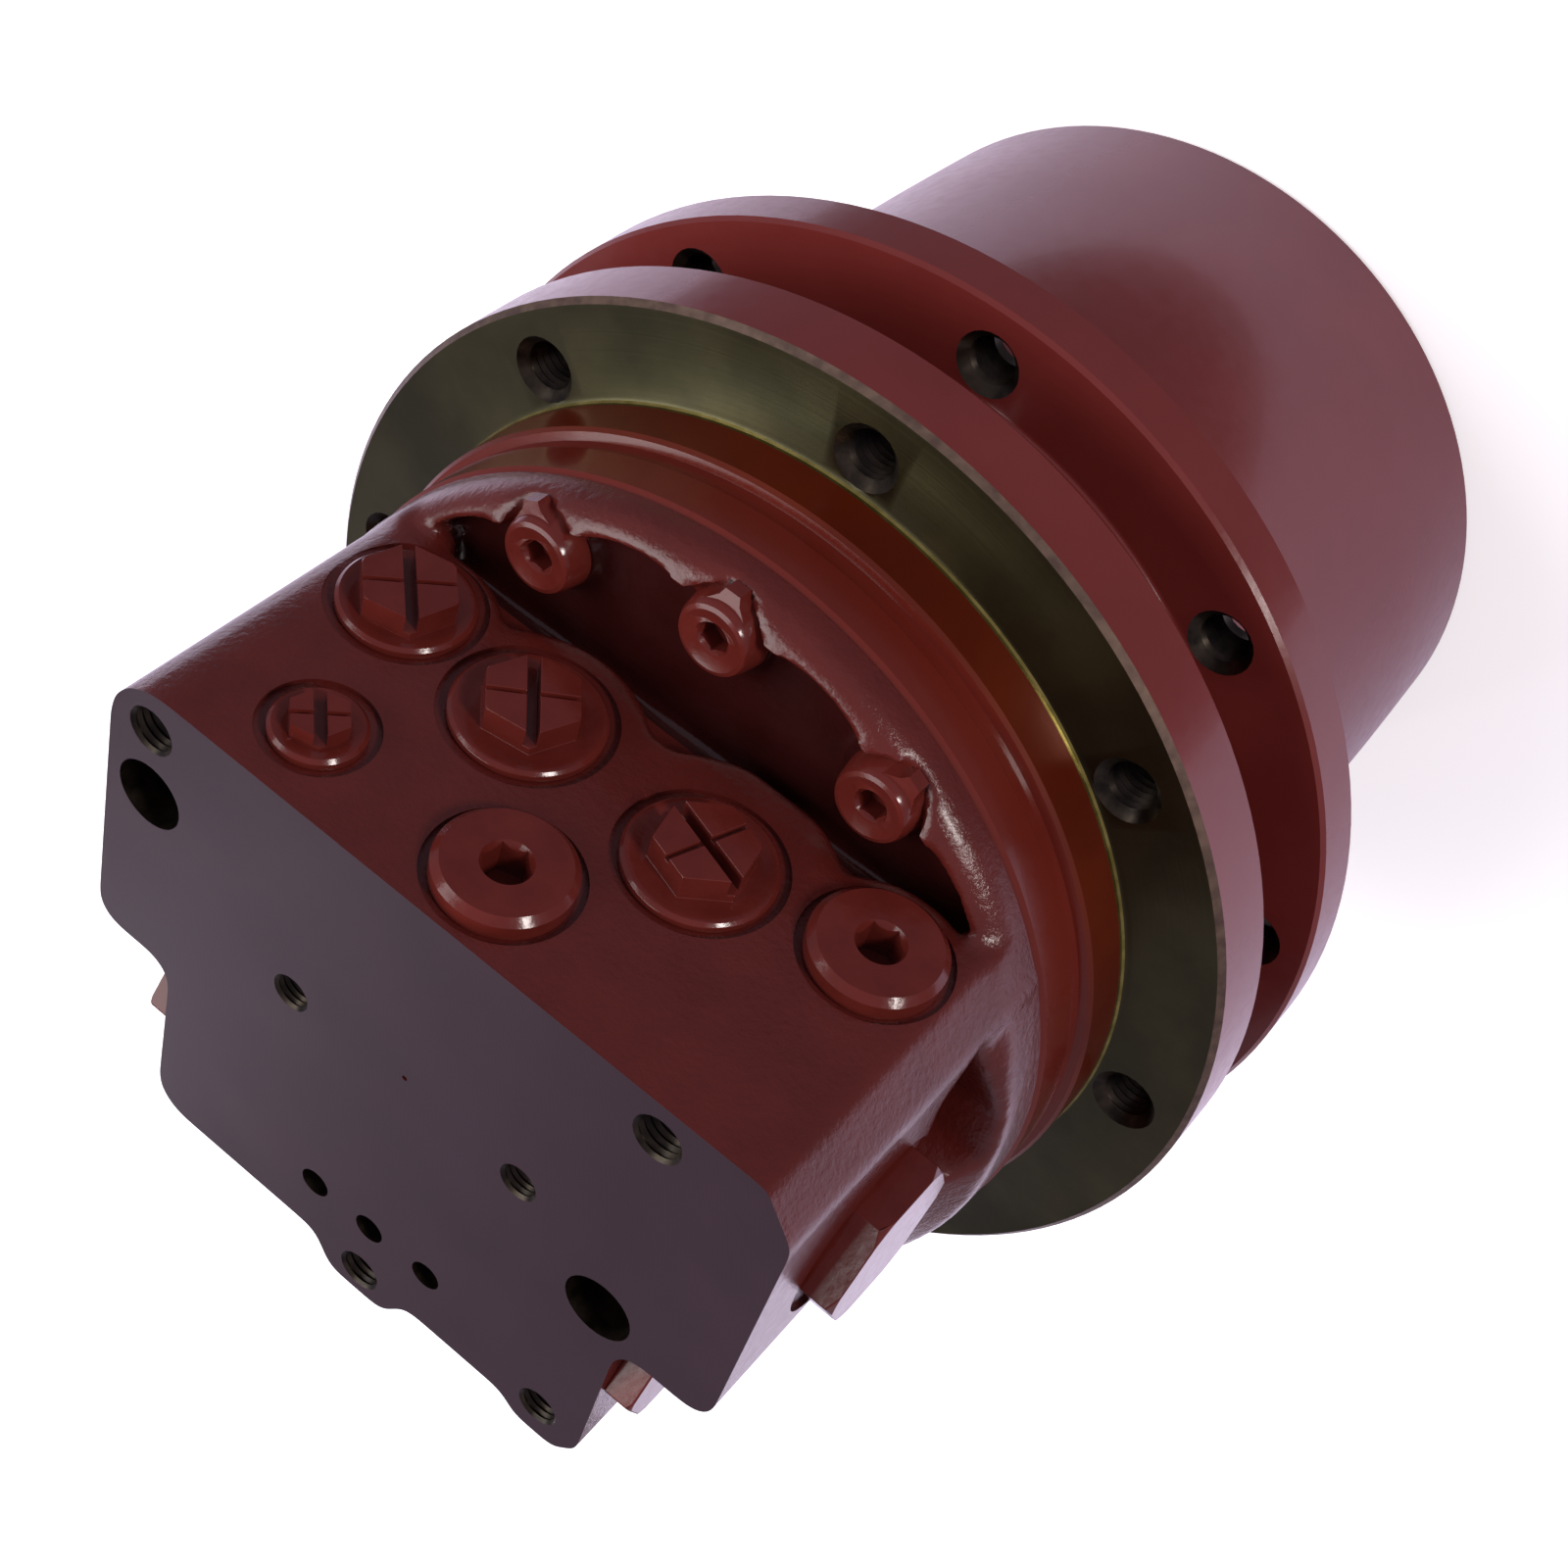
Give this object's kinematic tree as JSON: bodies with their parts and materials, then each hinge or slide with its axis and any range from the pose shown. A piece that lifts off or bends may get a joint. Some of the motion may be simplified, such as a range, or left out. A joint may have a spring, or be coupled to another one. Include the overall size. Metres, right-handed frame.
{
  "type": "track final drive",
  "caption": "Track final drive: hydraulic travel motor and port block on a chassis flange, with a turning planetary sprocket hub below.",
  "frame": {"origin": "on the shaft's axis in the plane of the drum's end", "axes": "+Z along the shaft from the drum's end to the port face, +X along the plug face, +Y out of the plug face"},
  "size_m": [0.2254, 0.2254, 0.271],
  "materials": {
    "maroon_paint": "gloss",
    "flange_paint": "gloss",
    "steel": "ground",
    "gear_steel": "satin",
    "black_steel": "satin",
    "rubber": "matte",
    "bronze": "satin"
  },
  "bodies": {
    "case": {"motor_case": "flange_paint", "port_block": "maroon_paint", "port_plug_1": "maroon_paint", "port_plug_2": "maroon_paint", "port_plug_3": "maroon_paint", "check_plug": "maroon_paint", "socket_plug_1": "maroon_paint", "socket_plug_2": "maroon_paint", "block_screw_1": "maroon_paint", "block_screw_2": "maroon_paint", "block_screw_3": "maroon_paint", "block_screw_4": "maroon_paint", "block_screw_5": "maroon_paint", "block_screw_6": "maroon_paint", "block_screw_7": "maroon_paint", "spool_cap_left": "maroon_paint", "spool_cap_right": "maroon_paint", "side_plug_left": "maroon_paint", "side_plug_right": "maroon_paint", "swash_plate": "steel", "valve_plate": "bronze", "shaft_seal": "rubber", "front_shaft_bearing": "steel", "rear_shaft_bearing": "steel", "bearing_inner_upper": "steel", "bearing_inner_lower": "steel", "bearing_nut": "black_steel", "seal_ring_fixed": "steel", "carrier_2": "gear_steel", "planet_pin_2_1": "steel", "planet_pin_2_2": "steel", "planet_pin_2_3": "steel"},
    "hub": {"hub_housing": "maroon_paint", "end_cover": "maroon_paint", "retaining_ring": "black_steel", "cover_seal": "rubber", "fill_plug": "black_steel", "drain_plug": "black_steel", "seal_ring_rotating": "steel", "bearing_outer_upper": "steel", "bearing_outer_lower": "steel"},
    "carrier": {"carrier_1": "gear_steel", "sun_gear_2": "gear_steel", "planet_pin_1_1": "steel", "planet_pin_1_2": "steel", "planet_pin_1_3": "steel"},
    "rotor": {"drive_shaft": "steel", "sun_gear_1": "gear_steel", "cylinder_block": "steel", "brake_disc": "black_steel"},
    "balls_upper": {"ball_set_upper": "steel"},
    "balls_lower": {"ball_set_lower": "steel"},
    "planet_1_1": {"planet_gear_1_1": "gear_steel"},
    "planet_2_1": {"planet_gear_2_1": "gear_steel"},
    "planet_1_2": {"planet_gear_1_2": "gear_steel"},
    "planet_2_2": {"planet_gear_2_2": "gear_steel"},
    "planet_1_3": {"planet_gear_1_3": "gear_steel"},
    "planet_2_3": {"planet_gear_2_3": "gear_steel"},
    "brake_piston": {"brake_piston": "steel"},
    "spool": {"spool": "steel"}
  },
  "joints": [
    {"name": "hub_spin", "type": "hinge", "parent": "case", "child": "hub", "pos_m": [0, 0, 0], "axis": [0, 0, 1], "continuous": true},
    {"name": "carrier_spin", "type": "hinge", "parent": "case", "child": "carrier", "pos_m": [0, 0, 0], "axis": [0, 0, 1], "continuous": true},
    {"name": "rotor_spin", "type": "hinge", "parent": "case", "child": "rotor", "pos_m": [0, 0, 0], "axis": [0, 0, 1], "continuous": true},
    {"name": "balls_upper_roll", "type": "hinge", "parent": "case", "child": "balls_upper", "pos_m": [0, 0, 0], "axis": [0, 0, 1], "continuous": true},
    {"name": "balls_lower_roll", "type": "hinge", "parent": "case", "child": "balls_lower", "pos_m": [0, 0, 0], "axis": [0, 0, 1], "continuous": true},
    {"name": "planet_1_1_spin", "type": "hinge", "parent": "carrier", "child": "planet_1_1", "pos_m": [0, 0.045, 0], "axis": [0, 0, 1], "continuous": true},
    {"name": "planet_2_1_spin", "type": "hinge", "parent": "case", "child": "planet_2_1", "pos_m": [0, 0.04875, 0], "axis": [0, 0, 1], "continuous": true},
    {"name": "planet_1_2_spin", "type": "hinge", "parent": "carrier", "child": "planet_1_2", "pos_m": [-0.03897, -0.0225, 0], "axis": [0, 0, 1], "continuous": true},
    {"name": "planet_2_2_spin", "type": "hinge", "parent": "case", "child": "planet_2_2", "pos_m": [-0.04222, -0.02438, 0], "axis": [0, 0, 1], "continuous": true},
    {"name": "planet_1_3_spin", "type": "hinge", "parent": "carrier", "child": "planet_1_3", "pos_m": [0.03897, -0.0225, 0], "axis": [0, 0, 1], "continuous": true},
    {"name": "planet_2_3_spin", "type": "hinge", "parent": "case", "child": "planet_2_3", "pos_m": [0.04222, -0.02438, 0], "axis": [0, 0, 1], "continuous": true},
    {"name": "brake_release", "type": "slide", "parent": "case", "child": "brake_piston", "axis": [0, 0, 1], "range_m": [0, 0.0015]},
    {"name": "spool_slide", "type": "slide", "parent": "case", "child": "spool", "axis": [1, 0, 0], "range_m": [-0.004, 0.004]}
  ],
  "couplings": [
    {"joint": "carrier_spin", "follows": "hub_spin", "ratio": -3.3333},
    {"joint": "rotor_spin", "follows": "hub_spin", "ratio": -25},
    {"joint": "balls_upper_roll", "follows": "hub_spin", "ratio": 0.53333},
    {"joint": "balls_lower_roll", "follows": "hub_spin", "ratio": 0.53333},
    {"joint": "planet_1_1_spin", "follows": "hub_spin", "ratio": 10.833},
    {"joint": "planet_2_1_spin", "follows": "hub_spin", "ratio": 2.8571},
    {"joint": "planet_1_2_spin", "follows": "hub_spin", "ratio": 10.833},
    {"joint": "planet_2_2_spin", "follows": "hub_spin", "ratio": 2.8571},
    {"joint": "planet_1_3_spin", "follows": "hub_spin", "ratio": 10.833},
    {"joint": "planet_2_3_spin", "follows": "hub_spin", "ratio": 2.8571}
  ]
}
